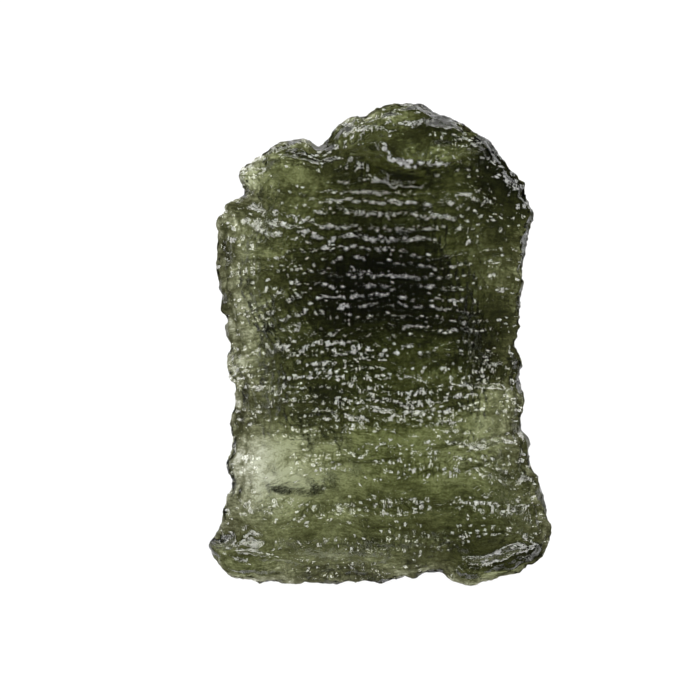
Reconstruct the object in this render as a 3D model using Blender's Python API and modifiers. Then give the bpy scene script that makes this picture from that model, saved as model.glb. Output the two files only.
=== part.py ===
"""A moldavite: one flat, deeply etched piece of natural green glass, lying on its back.

X runs to the stone's right and Y to its upper end, as it is seen from above, and Z is up.
The stone rests on one small flat spot under its thickest part, at Z 0.
"""

from math import cos, radians, sin

import bmesh
import bpy
import numpy as np
from mathutils import Vector, kdtree, noise

MM = 0.001  # the form is worked out in millimetres and stored in metres

# The outline, in millimetres, clockwise from the summit at the upper end
RIGHT_EDGE = (
    (0.45, 16.0), (1.5, 16.0), (2.5, 16.05), (3.1, 15.75), (4.0, 15.25), (4.75, 15.05),
    (5.35, 14.8), (5.8, 14.35), (6.7, 13.9), (7.2, 13.6), (7.6, 13.05), (7.95, 12.4),
    (8.35, 12.0), (8.75, 11.4), (9.2, 11.0), (9.6, 10.45), (9.45, 10.05), (9.65, 9.65),
    (10.25, 8.8), (9.95, 8.1), (9.95, 7.55), (9.6, 7.0), (9.5, 5.8), (9.25, 4.85),
    (9.45, 4.2), (9.4, 3.65), (9.15, 3.05), (9.25, 2.4), (9.05, 1.7), (9.15, 1.3),
    (9.0, 0.85), (9.1, 0.45), (8.95, -0.2), (9.4, -1.25), (9.15, -2.4), (9.55, -3.35),
    (9.55, -3.8), (9.25, -4.7), (9.3, -5.65), (9.75, -6.1), (10.0, -7.0), (9.85, -7.8),
    (10.3, -8.5), (10.65, -9.3), (10.65, -9.9), (11.15, -10.9), (11.15, -11.5),
    (11.4, -12.45), (11.0, -13.35),
)
LOWER_EDGE = (
    (10.95, -13.7), (10.4, -14.4), (9.5, -14.7), (9.1, -15.1), (8.3, -15.3), (7.3, -15.6),
    (6.3, -15.95), (5.1, -15.8), (4.6, -15.35), (4.1, -15.15), (3.3, -15.15), (2.4, -15.4),
    (1.3, -15.55), (0.2, -15.8), (-1.0, -15.75), (-2.0, -15.75), (-3.1, -15.95),
    (-4.1, -15.75), (-6.0, -15.9), (-6.9, -15.75), (-8.15, -15.8), (-8.7, -15.55),
    (-9.6, -15.4), (-10.55, -14.85), (-10.8, -14.3), (-11.35, -13.7), (-11.45, -13.35),
)
LEFT_EDGE = (
    (-11.2, -13.15), (-10.5, -13.15), (-10.0, -12.75), (-10.4, -11.7), (-10.5, -11.15),
    (-10.2, -10.5), (-10.0, -9.7), (-9.85, -9.05), (-10.2, -8.2), (-10.3, -7.65),
    (-10.0, -7.25), (-9.9, -6.3), (-9.95, -5.5), (-9.9, -4.6), (-9.6, -4.3), (-9.55, -3.6),
    (-9.75, -3.0), (-9.5, -2.6), (-9.9, -2.0), (-10.25, -0.85), (-9.85, -0.35),
    (-9.9, 0.2), (-10.25, 0.75), (-10.3, 1.85), (-10.65, 2.4), (-10.4, 2.85),
    (-10.75, 3.75), (-10.7, 4.5), (-11.1, 5.2), (-10.7, 5.65), (-10.85, 6.4),
    (-10.7, 7.5), (-10.9, 8.15), (-10.45, 8.85), (-9.95, 9.5), (-9.45, 9.6),
    (-9.0, 10.05), (-8.95, 10.35), (-9.35, 10.9), (-9.4, 11.5),
)
UPPER_EDGE = (
    (-9.15, 11.9), (-8.6, 12.0), (-8.1, 12.45), (-8.05, 12.7), (-7.35, 12.95),
    (-6.85, 13.35), (-6.0, 13.55), (-5.15, 13.7), (-4.65, 13.45), (-4.2, 13.15),
    (-3.4, 13.5), (-3.25, 13.95), (-2.7, 14.7), (-2.2, 14.85), (-1.95, 15.2),
    (-1.7, 15.35), (-1.25, 15.1), (-0.8, 15.2), (-0.3, 15.7),
)
OUTLINE = RIGHT_EDGE + LOWER_EDGE + LEFT_EDGE + UPPER_EDGE
CURVE_STEPS = 4  # straight pieces between two outline points

# Heights above and below the rim's middle plane, in millimetres
RIM_UP = 0.5
RIM_DOWN = 0.55
FRONT_RISE = 2.3
BACK_DEPTH = 5.0
FRONT_SHOULDER = 1.0  # how far in from a steep rim the front becomes level
FRONT_TAPER = 3.6  # and how far in from a thin rim
BACK_SHOULDER = 7.5
FLAT_CUT = 0.9  # glass taken off the lowest part of the back as the resting spot

# Where the rim is a steep wall and not a thin edge: x, y, half width, half height
STEEP_RIMS = (
    (9.6, 2.4, 1.8, 4.6),
    (9.2, 10.5, 2.4, 3.5),
    (3.5, 14.6, 6.0, 3.4),
    (-5.0, 12.6, 4.2, 3.2),
    (8.2, -14.8, 3.5, 1.4),
    (-9.5, -14.6, 2.4, 1.4),
)
THIN_RIM = 0.15  # how steep the rest of the rim is
THIN_HEIGHT = 0.4  # the height of a thin edge, to that of a steep wall
# Where the front stands proud or sinks: x, y, width, height, rise
FRONT_SWELLS = (
    (3.2, 14.3, 4.8, 2.1, 1.1),
    (0.5, 10.6, 5.0, 2.4, -0.2),
    (-6.0, 11.8, 2.6, 1.6, 0.35),
    (0.0, 4.5, 6.0, 5.0, 0.4),
    (7.2, 3.0, 1.8, 5.5, -0.4),
    (-8.4, 2.5, 2.0, 6.0, -0.15),
    (-8.6, -8.2, 3.2, 2.6, -0.5),
    (0.5, -9.6, 6.0, 1.4, -0.15),
    (1.0, -13.6, 7.0, 1.6, 0.15),
)
# Where the back bulges or is hollowed: x, y, width, height, share of BACK_DEPTH
BACK_SWELLS = (
    (0.6, 4.6, 5.8, 5.6, 0.36),
    (0.2, -2.2, 4.2, 4.6, 0.4),
    (4.0, -10.5, 6.0, 3.6, 0.2),
    (-7.4, -8.0, 4.8, 3.3, -0.34),
    (-9.5, 3.0, 2.0, 7.0, -0.12),
    (6.0, 12.0, 3.5, 2.5, 0.15),
)
BACK_BASE = 0.34
# Slow waves in the skin: size, height or share, and the noise's own number
BODY_WAVES = ((7.0, 0.3, 2), (3.2, 0.2, 4))
BACK_WAVES = ((6.0, 0.3, 3), (2.8, 0.16, 6))
# The back is less pitted where the stone rests: x, y, half width, half height
WORN_SPOT = (0.0, -0.8, 3.2, 3.6)

# Raised ribs on the front: x and y of both ends, width, height
RIBS = (
    (-0.3, 13.1, 0.7, 12.3, 0.3, 0.34),
    (0.7, 12.3, 2.0, 11.8, 0.26, 0.34),
    (2.0, 11.8, 3.3, 11.75, 0.28, 0.2),
    (3.7, 11.9, 5.5, 12.3, 0.25, 0.14),
    (-1.15, 12.2, -1.1, 10.8, 0.2, 0.25),
    (-7.6, 13.2, -4.6, 12.4, 0.2, 0.25),
    (-10.1, 9.15, -8.5, 8.85, 0.26, 0.35),
    (5.2, -15.0, 10.1, -13.75, 0.22, 0.38),
    (-11.2, -13.3, -7.9, -14.0, 0.22, 0.32),
    (-7.9, -14.0, -5.2, -14.5, 0.22, 0.28),
    (7.7, -3.0, 9.0, -4.4, 0.4, 0.25),
    (6.2, -6.9, 9.5, -6.5, 0.35, 0.22),
)
# Furrows cut into the front: x and y of both ends, width, depth
FURROWS = (
    (-1.9, 12.7, -0.2, 11.6, 0.4, 0.4),
    (-0.2, 11.6, 2.6, 11.0, 0.42, 0.45),
    (0.8, 12.9, 1.6, 12.1, 0.2, 0.2),
    (1.6, 12.1, 3.2, 11.6, 0.2, 0.18),
    (3.2, 11.6, 5.9, 11.9, 0.18, 0.16),
    (-7.0, 13.0, -4.4, 12.2, 0.18, 0.15),
    (-8.7, 9.75, -7.6, 9.4, 0.3, 0.5),
    (-3.2, -7.75, 1.2, -7.6, 0.18, 0.16),
    (3.4, -6.8, 4.9, -6.65, 0.18, 0.17),
    (4.9, -6.65, 8.8, -5.7, 0.18, 0.15),
    (-5.4, -6.7, -2.6, -6.1, 0.18, 0.14),
    (4.8, -8.4, 8.0, -7.4, 0.18, 0.14),
    (3.2, -1.5, 5.2, -0.85, 0.22, 0.18),
    (4.2, -4.4, 6.2, -3.6, 0.22, 0.18),
    (5.8, -2.3, 8.4, -2.7, 0.25, 0.3),
    (4.8, -14.3, 9.2, -13.2, 0.35, 0.3),
)
# Round knobs, pits and dishes: x, y, radius, height
KNOBS = (
    (-2.3, 13.9, 0.42, 0.35),
    (-1.65, 14.8, 0.36, 0.3),
    (-0.95, 14.2, 0.4, 0.32),
    (0.05, 15.2, 0.4, 0.3),
    (1.05, 15.5, 0.36, 0.25),
    (0.1, 14.2, 0.36, 0.25),
    (2.2, 15.6, 0.4, 0.25),
    (-8.7, 11.3, 0.6, 0.35),
    (-9.4, 9.3, 0.5, 0.3),
    (-9.6, -2.1, 0.6, 0.3),
    (-3.7, -9.4, 0.3, -0.28),
    (4.4, -15.0, 1.0, -0.5),
    (-7.0, -14.9, 1.6, -0.45),
    (-4.2, 12.9, 0.9, -0.4),
)
# Smooth windows between the pits: x, y, half width, half height
WINDOWS = (
    (2.4, 14.1, 1.3, 0.8),
    (5.5, 10.8, 1.4, 0.8),
    (-5.4, -9.4, 2.4, 1.3),
    (1.2, -9.5, 4.2, 0.45),
    (1.0, -11.6, 4.8, 0.45),
    (-4.2, 11.4, 1.3, 0.7),
)

# The pits' length and spacing, and how deep they are etched
ROW_PIT = (1.6, 1.0)
ROW_DEPTH = 0.3
SMALL_PIT = (0.95, 0.85)
SMALL_DEPTH = 0.2
BACK_PIT = (2.4, 1.7)
BACK_PIT_DEPTH = 0.4
RIM_PIT = (1.7, 1.5)
RIM_PIT_DEPTH = 0.25
PIT_LEVEL = 0.6  # the height in a row of pits that stays level with the body
PIT_SHIFT = 0.4  # how far a pit strays from its place in the row
PIT_UNEVEN = 0.25  # how much shallower some pits are than others
END_WALL = 0.6  # height of the wall between two pits of a row, to that between rows
# How the rows wander, and how the etching is uneven: size, height and the noise's number
ROW_WANDER = ((2.6, 0.5, 5), (1.2, 0.22, 6))
BACK_WANDER = (4.5, 1.4, 10)
BACK_LEVEL_WANDER = (5.5, 1.8, 11)
RIM_WANDER = (2.2, 0.7, 22)
FRONT_GRAIN = (1.4, 0.12, 8)
BACK_GRAIN = (1.8, 0.2, 13)
RIM_GRAIN = (0.8, 0.12, 20)
STRENGTH = (2.0, 1.1, 30)
MEAN_STRENGTH = 0.85
STRENGTH_LIMITS = (0.3, 1.4)
LENGTHWISE = 0.6  # noise is this much longer along the rows than across them
SMALL_PIT_BAND = (-3.2, 2.6)  # middle and half height of the band of small pits
LOWER_END = (-6.0, 0.6)  # where the faint lower rows begin, and how gradually
FAINT_ROWS = 0.5
WINDOW_CALM = 0.85
WORN_CALM = 0.8
BACK_ROW_TURN = (0.3, -0.25)  # how the rows on the back slant
RIM_RADIUS = 13.0
SIDE_TURN = 2.2  # how soon the skin counts as front or back rather than rim
CRUMPLE = 0.22  # height of the sharp folds close to the rim
CRUMPLE_REACH = 1.6
CRUMPLE_FOLDS = (1.1, 50)
WARP = 0.28  # how far the ribs and furrows stray from straight
WARP_SIZE = 1.2
# Places where the rows are not level: x, y, half width, half height, degrees turned
TURNS = (
    (-7.5, 8.6, 4.6, 3.4, -24),
    (-6.8, 1.2, 5.2, 3.4, 30),
    (1.0, -0.4, 4.5, 1.8, 20),
    (7.6, 9.6, 2.6, 2.6, -30),
    (-6.5, -9.6, 4.5, 2.6, 28),
    (6.5, -8.5, 4.0, 2.4, -12),
)
TURN_STRENGTH = 1.6

SLAB_VOXEL = 0.35
BODY_VOXEL = 0.2
FACE_LIMIT = 9800  # triangles left in the solid
SHARP_ANGLE = radians(35)


def clear_scene():
    for thing in list(bpy.data.objects):
        bpy.data.objects.remove(thing, do_unlink=True)


def smooth_loop(points, steps):
    """Points along a closed Catmull-Rom curve through the outline's own points."""
    knots = np.array(points, float)
    before, after = np.roll(knots, 1, axis=0), np.roll(knots, -1, axis=0)
    beyond = np.roll(knots, -2, axis=0)
    loop = []
    for t in np.linspace(0, 1, steps, endpoint=False):
        loop.append(
            0.5
            * (
                2 * knots
                + (after - before) * t
                + (2 * before - 5 * knots + 4 * after - beyond) * t**2
                + (3 * knots - before - 3 * after + beyond) * t**3
            )
        )
    return np.stack(loop, axis=1).reshape(-1, 2)


def slab_curve(loop, half_thickness):
    """The outline as a filled flat curve, extruded both ways."""
    curve = bpy.data.curves.new("outline", "CURVE")
    curve.dimensions = "2D"
    curve.fill_mode = "BOTH"
    curve.extrude = half_thickness
    spline = curve.splines.new("POLY")
    spline.points.add(len(loop) - 1)
    for point, (x, y) in zip(spline.points, loop):
        point.co = (x, y, 0, 1)
    spline.use_cyclic_u = True
    slab = bpy.data.objects.new("slab", curve)
    bpy.context.scene.collection.objects.link(slab)
    return slab


def made_mesh(thing):
    """Replaces an object with its evaluated mesh, modifiers applied and caps welded."""
    graph = bpy.context.evaluated_depsgraph_get()
    data = bpy.data.meshes.new_from_object(thing.evaluated_get(graph))
    shape = bmesh.new()
    shape.from_mesh(data)
    bmesh.ops.remove_doubles(shape, verts=shape.verts, dist=1e-5)
    shape.to_mesh(data)
    shape.free()
    done = bpy.data.objects.new(thing.name, data)
    bpy.context.scene.collection.objects.link(done)
    bpy.data.objects.remove(thing, do_unlink=True)
    return done


def remeshed(thing, voxel):
    """An even skin of small square faces over the same shape."""
    remesh = thing.modifiers.new("even skin", "REMESH")
    remesh.mode = "VOXEL"
    remesh.voxel_size = voxel
    return made_mesh(thing)


def read_points(thing):
    points = np.empty(len(thing.data.vertices) * 3)
    thing.data.vertices.foreach_get("co", points)
    return points.reshape(-1, 3)


def read_normals(thing):
    normals = np.empty(len(thing.data.vertices) * 3)
    thing.data.vertices.foreach_get("normal", normals)
    return normals.reshape(-1, 3)


def write_points(thing, points):
    thing.data.vertices.foreach_set("co", points.ravel())
    thing.data.update()


def distance_to(loop, points):
    """How far each point is from the rim, measured level."""
    tree = kdtree.KDTree(len(loop))
    for index, (x, y) in enumerate(loop):
        tree.insert((x, y, 0), index)
    tree.balance()
    return np.array([tree.find((x, y, 0))[2] for x, y, _ in points])


def bumps(points, size, seed):
    """Smooth noise from -1 to 1 whose lumps are about this size."""
    moved = points / size + seed * 17.3
    return np.array([noise.noise(Vector(p)) for p in moved])


def waves(points, *layers):
    """Layers of smooth noise, each with its size, height and number."""
    return sum(height * bumps(points, size, seed) for size, height, seed in layers)


def shoulder(distance, reach):
    """0 at the rim, rising steeply and then levelling off at 1."""
    inward = 1 - np.clip(distance / reach, 0, 1)
    return np.sqrt(1 - inward**2)


def taper(distance, reach):
    """0 at the rim, rising gently all the way to 1."""
    inward = np.clip(distance / reach, 0, 1)
    return 0.5 * inward + 0.5 * inward**2 * (3 - 2 * inward)


def patch(points, x, y, half_width, half_height):
    """1 in the middle of an oval patch, fading to 0 outside it."""
    across = ((points[:, 0] - x) / half_width) ** 2 + ((points[:, 1] - y) / half_height) ** 2
    return np.exp(-across)


def along_line(points, x0, y0, x1, y1, width):
    """1 on a straight line between two points, fading to 0 beside it."""
    start, run = np.array((x0, y0)), np.array((x1 - x0, y1 - y0))
    offset = points[:, :2] - start
    share = np.clip(offset @ run / (run @ run), 0, 1)
    gap = np.linalg.norm(offset - share[:, None] * run, axis=1)
    return np.exp(-((gap / width) ** 2))


def swell(slab, loop):
    """Turns the flat slab into the stone's body: a low front and a deep, uneven back."""
    points = read_points(slab)
    inside = distance_to(loop, points)
    share = BACK_BASE + sum(
        amount * patch(points, x, y, width, height)
        for x, y, width, height, amount in BACK_SWELLS
    )
    flat = points * (1, 1, 0)
    steep = np.clip(THIN_RIM + sum(patch(points, *place) for place in STEEP_RIMS), 0, 1)
    edge = THIN_HEIGHT + (1 - THIN_HEIGHT) * steep
    profile = steep * shoulder(inside, FRONT_SHOULDER) + (1 - steep) * taper(inside, FRONT_TAPER)
    front = RIM_UP * edge + FRONT_RISE * profile
    back = RIM_DOWN * edge + BACK_DEPTH * share * shoulder(inside, BACK_SHOULDER)
    back = back * (1 + waves(flat, *BACK_WAVES))
    rise = sum(high * patch(points, *place) for *place, high in FRONT_SWELLS)
    front = front + rise * shoulder(inside, FRONT_SHOULDER)
    up = points[:, 2]
    points[:, 2] = np.where(up > 0, up * front, up * back) + waves(flat, *BODY_WAVES)
    write_points(slab, points)


def hashed(i, j, seed):
    """A repeatable number from 0 to 1 for each cell of a grid."""
    return np.modf(np.abs(np.sin(i * 127.1 + j * 311.7 + seed * 74.7)) * 43758.5453)[0]


def pit_field(along, across, pit, seed):
    """Long pits in rows: 0 on a pit's floor, about 1 on the sharp walls between rows."""
    length, spacing = pit
    row = np.floor(across / spacing)
    nearest = np.full(len(along), 9.0)
    for next_row in (row - 1, row, row + 1):
        shift = hashed(next_row, 0, seed)
        cell = np.floor(along / length + shift)
        for next_cell in (cell - 1, cell, cell + 1):
            stray = PIT_SHIFT * (hashed(next_cell, next_row, seed + 1) - 0.5)
            middle = next_cell + 0.5 - shift + stray
            level = next_row + 0.5 + PIT_SHIFT * (hashed(next_cell, next_row, seed + 2) - 0.5)
            u = (across - level * spacing) / (spacing / 2)
            v = (along - middle * length) / (length / 2)
            shallow = PIT_UNEVEN * hashed(next_cell, next_row, seed + 3)
            nearest = np.minimum(nearest, u**2 + END_WALL * v**4 + shallow)
    return np.clip(nearest, 0, 1.25)


def turned_rows(points, pit, seed):
    """Level rows of pits all over, with rows turned one way in each place of the list."""
    wander = waves(points * (LENGTHWISE, 1, 0), *ROW_WANDER)
    heights = pit_field(points[:, 0], points[:, 1] + wander, pit, seed)
    for x, y, half_width, half_height, degrees in TURNS:
        share = np.clip(TURN_STRENGTH * patch(points, x, y, half_width, half_height), 0, 1)
        turn = radians(degrees)
        along = points[:, 0] * cos(turn) + points[:, 1] * sin(turn)
        across = points[:, 1] * cos(turn) - points[:, 0] * sin(turn) + wander
        heights = heights + share * (pit_field(along, across, pit, seed + degrees) - heights)
    return heights - PIT_LEVEL


def warped(points):
    """The points moved about a little, so that what is drawn straight comes out crooked."""
    flat = points * (1, 1, 0)
    shift = [bumps(flat, WARP_SIZE, 60), bumps(flat, WARP_SIZE, 61), 0 * flat[:, 0]]
    return points + WARP * np.stack(shift, axis=1)


def crumpled(points, loop):
    """Sharp folds close to the rim."""
    folds = 1 - 2 * np.abs(bumps(points, *CRUMPLE_FOLDS))
    return (folds - 0.5) * np.exp(-((distance_to(loop, points) / CRUMPLE_REACH) ** 2))


def front_relief(points, loop):
    """Rows of long pits above, small round pits in the middle and broad furrows below."""
    long_grain = points * (LENGTHWISE, 1, 1)
    strength = np.clip(MEAN_STRENGTH + waves(long_grain, STRENGTH), *STRENGTH_LIMITS)
    rows = ROW_DEPTH * strength * turned_rows(points, ROW_PIT, 1)
    small = SMALL_DEPTH * turned_rows(points, SMALL_PIT, 7)
    band = np.exp(-(((points[:, 1] - SMALL_PIT_BAND[0]) / SMALL_PIT_BAND[1]) ** 2))
    lower = 1 / (1 + np.exp((points[:, 1] - LOWER_END[0]) / LOWER_END[1]))
    calm = np.clip(sum(patch(points, *window) for window in WINDOWS), 0, 1)
    faint = 1 - FAINT_ROWS * lower
    pits = rows * (1 - band) * faint + small * np.clip(band + (1 - FAINT_ROWS) * lower, 0, 1)
    relief = pits * (1 - WINDOW_CALM * calm) + waves(long_grain, FRONT_GRAIN)
    relief = relief + CRUMPLE * crumpled(points, loop)
    bent = warped(points)
    relief = relief + sum(high * along_line(bent, *rib) for *rib, high in RIBS)
    relief = relief - sum(deep * along_line(bent, *cut) for *cut, deep in FURROWS)
    for x, y, radius, high in KNOBS:
        relief = relief + high * patch(bent, x, y, radius, radius)
    return relief


def back_relief(points):
    """Larger, deeper pits than the front's, round the resting spot."""
    flat = points * (1, 1, 0)
    turned = points[:, 0] + BACK_ROW_TURN[0] * points[:, 1] + waves(flat, BACK_WANDER)
    level = points[:, 1] + BACK_ROW_TURN[1] * points[:, 0] + waves(flat, BACK_LEVEL_WANDER)
    pits = BACK_PIT_DEPTH * (pit_field(turned, level, BACK_PIT, 12) - PIT_LEVEL)
    return (1 - WORN_CALM * patch(points, *WORN_SPOT)) * (pits + waves(points, BACK_GRAIN))


def rim_relief(points):
    """Scallops along the rim, with their rows running level round the stone."""
    round_rim = np.arctan2(points[:, 1], points[:, 0]) * RIM_RADIUS
    level = points[:, 2] + waves(points, RIM_WANDER)
    pits = pit_field(round_rim, level, RIM_PIT, 23) - PIT_LEVEL
    return RIM_PIT_DEPTH * pits + waves(points, RIM_GRAIN)


def carve(body, loop):
    """Moves every point of the body in or out by the etched relief of its side."""
    points, normals = read_points(body), read_normals(body)
    facing = np.clip(normals[:, 2] * SIDE_TURN, -1, 1)
    front, back = front_relief(points, loop), back_relief(points)
    relief = np.where(facing > 0, facing * front, -facing * back)
    relief = relief + (1 - np.abs(facing)) * rim_relief(points)
    write_points(body, points + normals * relief[:, None])


def thinned(body, faces):
    """Keeps the shape with fewer triangles, small on sharp walls and large on smooth ones."""
    body.data.calc_loop_triangles()
    fewer = body.modifiers.new("fewer faces", "DECIMATE")
    fewer.ratio = faces / len(body.data.loop_triangles)
    fewer.use_collapse_triangulate = True
    return made_mesh(body)


def cut_resting_spot(body):
    """Slices the lowest glass off level and closes the cut with one flat face."""
    shape = bmesh.new()
    shape.from_mesh(body.data)
    lowest = min(vertex.co.z for vertex in shape.verts)
    cut = bmesh.ops.bisect_plane(
        shape,
        geom=shape.verts[:] + shape.edges[:] + shape.faces[:],
        dist=1e-4,
        plane_co=(0, 0, lowest + FLAT_CUT),
        plane_no=(0, 0, -1),
        clear_outer=True,
    )
    rims = [item for item in cut["geom_cut"] if isinstance(item, bmesh.types.BMEdge)]
    bmesh.ops.holes_fill(shape, edges=rims, sides=0)
    bmesh.ops.recalc_face_normals(shape, faces=shape.faces)
    shape.to_mesh(body.data)
    shape.free()


def set_on_base(body):
    """Centres the stone over the origin, stands it at Z 0 and stores it in metres."""
    points = read_points(body)
    low, high = points.min(axis=0), points.max(axis=0)
    middle = (low + high) / 2
    points -= (middle[0], middle[1], low[2])
    write_points(body, points * MM)


def moldavite_glass():
    glass = bpy.data.materials.new("moldavite glass")
    glass.use_nodes = True
    shader = glass.node_tree.nodes["Principled BSDF"]
    shader.inputs["Base Color"].default_value = (0.2, 0.24, 0.09, 1)
    shader.inputs["Metallic"].default_value = 0.0
    shader.inputs["Roughness"].default_value = 0.15
    shader.inputs["IOR"].default_value = 1.49
    return glass


def build_moldavite():
    loop = smooth_loop(OUTLINE, CURVE_STEPS)
    slab = remeshed(slab_curve(loop, 1.0), SLAB_VOXEL)
    swell(slab, loop)
    body = remeshed(slab, BODY_VOXEL)
    carve(body, loop)
    stone = thinned(body, FACE_LIMIT)
    cut_resting_spot(stone)
    set_on_base(stone)
    stone.name = stone.data.name = "moldavite"
    stone.data.materials.append(moldavite_glass())
    stone.data.shade_smooth()
    stone.data.set_sharp_from_angle(angle=SHARP_ANGLE)
    group = bpy.data.collections.new("moldavite")
    bpy.context.scene.collection.children.link(group)
    group.objects.link(stone)
    bpy.context.scene.collection.objects.unlink(stone)
    return stone


clear_scene()
build_moldavite()
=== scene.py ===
# %% [markdown]
# # A moldavite
# A moldavite is natural green glass that fell from the sky as a splash and was then etched by wet
# ground for millions of years. This one is flat and about 32 mm long. It lies on its back on a
# white light table, and light comes up through it, so its thin places glow olive. Its thick middle
# is nearly black, partly from the thickness of the glass and partly from painted shade. A soft lamp
# hangs beyond its upper end, and each small facet that faces the lamp shows a pale grey fleck. This
# lesson builds that stone as one closed skin, etches it with a few functions, and gives it
# see-through glass with darker streaks and with painted light and shade.

from math import cos, pi, radians, sin

import bmesh
import bpy
import numpy as np
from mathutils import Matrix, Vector, kdtree, noise


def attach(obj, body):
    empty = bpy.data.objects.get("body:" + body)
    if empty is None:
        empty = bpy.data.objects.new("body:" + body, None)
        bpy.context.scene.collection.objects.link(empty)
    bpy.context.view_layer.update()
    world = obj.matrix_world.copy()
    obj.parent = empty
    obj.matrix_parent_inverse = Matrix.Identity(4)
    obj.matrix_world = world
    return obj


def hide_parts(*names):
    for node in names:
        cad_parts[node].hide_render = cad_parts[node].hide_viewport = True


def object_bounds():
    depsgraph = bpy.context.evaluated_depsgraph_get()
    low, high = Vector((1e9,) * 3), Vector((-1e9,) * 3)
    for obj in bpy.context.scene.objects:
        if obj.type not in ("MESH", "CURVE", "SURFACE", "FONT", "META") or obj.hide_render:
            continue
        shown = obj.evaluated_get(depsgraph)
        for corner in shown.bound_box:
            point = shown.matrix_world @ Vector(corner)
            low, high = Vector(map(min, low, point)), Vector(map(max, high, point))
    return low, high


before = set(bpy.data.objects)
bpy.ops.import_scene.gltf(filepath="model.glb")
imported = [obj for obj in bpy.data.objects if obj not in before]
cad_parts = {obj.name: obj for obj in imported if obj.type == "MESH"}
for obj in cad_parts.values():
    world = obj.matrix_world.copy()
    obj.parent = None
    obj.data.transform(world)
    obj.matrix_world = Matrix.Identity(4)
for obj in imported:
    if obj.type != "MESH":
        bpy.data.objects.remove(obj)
scene = bpy.context.scene
cad_low, cad_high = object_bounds()
MM = 0.001  # the stone is worked out in millimetres and stored in metres
cad_size = np.array(cad_high - cad_low) / MM
print("the solid measures", cad_size.round(2), "mm")

# %% [markdown]
# ## The outline
# The rim of the stone is the one thing that the eye checks first, so its bays and knobs are given
# one by one, as points in millimetres from the middle. A smooth curve through them would be enough
# for a pebble. Here a Catmull-Rom curve is used, because it passes through every point and keeps
# the small bays crisp.

# %% The outline
RIGHT_EDGE = (
    (0.45, 16), (1.5, 16), (2.5, 16.05), (3.1, 15.75), (4, 15.25), (4.75, 15.05), (5.35, 14.8),
    (5.8, 14.35), (6.7, 13.9), (7.2, 13.6), (7.6, 13.05), (7.95, 12.4), (8.35, 12), (8.75, 11.4),
    (9.2, 11), (9.6, 10.45), (9.45, 10.05), (9.65, 9.65), (10.25, 8.8), (9.95, 8.1), (9.95, 7.55),
    (9.6, 7), (9.5, 5.8), (9.25, 4.85), (9.45, 4.2), (9.4, 3.65), (9.15, 3.05), (9.25, 2.4),
    (9.05, 1.7), (9.15, 1.3), (9, 0.85), (9.1, 0.45), (8.95, -0.2), (9.4, -1.25), (9.15, -2.4),
    (9.55, -3.35), (9.55, -3.8), (9.25, -4.7), (9.3, -5.65), (9.75, -6.1), (10, -7), (9.85, -7.8),
    (10.3, -8.5), (10.65, -9.3), (10.65, -9.9), (11.15, -10.9), (11.15, -11.5), (11.4, -12.45),
    (11, -13.35),
)
LOWER_EDGE = (
    (10.95, -13.7), (10.4, -14.4), (9.5, -14.7), (9.1, -15.1), (8.3, -15.3), (7.3, -15.6),
    (6.3, -15.95), (5.1, -15.8), (4.6, -15.35), (4.1, -15.15), (3.3, -15.15), (2.4, -15.4),
    (1.3, -15.55), (0.2, -15.8), (-1, -15.75), (-2, -15.75), (-3.1, -15.95), (-4.1, -15.75),
    (-6, -15.9), (-6.9, -15.75), (-8.15, -15.8), (-8.7, -15.55), (-9.6, -15.4), (-10.55, -14.85),
    (-10.8, -14.3), (-11.35, -13.7), (-11.45, -13.35),
)
LEFT_EDGE = (
    (-11.2, -13.15), (-10.5, -13.15), (-10, -12.75), (-10.4, -11.7), (-10.5, -11.15),
    (-10.2, -10.5), (-10, -9.7), (-9.85, -9.05), (-10.2, -8.2), (-10.3, -7.65), (-10, -7.25),
    (-9.9, -6.3), (-9.95, -5.5), (-9.9, -4.6), (-9.6, -4.3), (-9.55, -3.6), (-9.75, -3),
    (-9.5, -2.6), (-9.9, -2), (-10.25, -0.85), (-9.85, -0.35), (-9.9, 0.2), (-10.25, 0.75),
    (-10.3, 1.85), (-10.65, 2.4), (-10.4, 2.85), (-10.75, 3.75), (-10.7, 4.5), (-11.1, 5.2),
    (-10.7, 5.65), (-10.85, 6.4), (-10.7, 7.5), (-10.9, 8.15), (-10.45, 8.85), (-9.95, 9.5),
    (-9.45, 9.6), (-9, 10.05), (-8.95, 10.35), (-9.35, 10.9), (-9.4, 11.5),
)
UPPER_EDGE = (
    (-9.15, 11.9), (-8.6, 12), (-8.1, 12.45), (-8.05, 12.7), (-7.35, 12.95), (-6.85, 13.35),
    (-6, 13.55), (-5.15, 13.7), (-4.65, 13.45), (-4.2, 13.15), (-3.4, 13.5), (-3.25, 13.95),
    (-2.7, 14.7), (-2.2, 14.85), (-1.95, 15.2), (-1.7, 15.35), (-1.25, 15.1), (-0.8, 15.2),
    (-0.3, 15.7),
)
OUTLINE = RIGHT_EDGE + LOWER_EDGE + LEFT_EDGE + UPPER_EDGE
CURVE_STEPS = 4  # straight pieces between two outline points


def smooth_loop(points):
    """Points along a closed Catmull-Rom curve through the outline's own points."""
    knots = np.array(points, float)
    before, after = np.roll(knots, 1, axis=0), np.roll(knots, -1, axis=0)
    beyond = np.roll(knots, -2, axis=0)
    loop = []
    for t in np.linspace(0, 1, CURVE_STEPS, endpoint=False):
        twice = 2 * knots + (after - before) * t
        twice += (2 * before - 5 * knots + 4 * after - beyond) * t**2
        twice += (3 * knots - before - 3 * after + beyond) * t**3
        loop.append(twice / 2)
    return np.stack(loop, axis=1).reshape(-1, 2)


rim = smooth_loop(OUTLINE)
print("the rim has", len(rim), "points")

# %% [markdown]
# ## A flat slab
# The stone could be sculpted from a ball, but a ball has no rim of the right shape. So the
# outline is filled with one face and extruded to a slab 2 mm thick. A voxel remesh then gives
# the slab an even skin of small squares, which can be pushed about like clay.

# %% A flat slab
SLAB_VOXEL = 0.35
SLAB_HALF = 1  # half the slab's thickness, in millimetres


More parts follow.
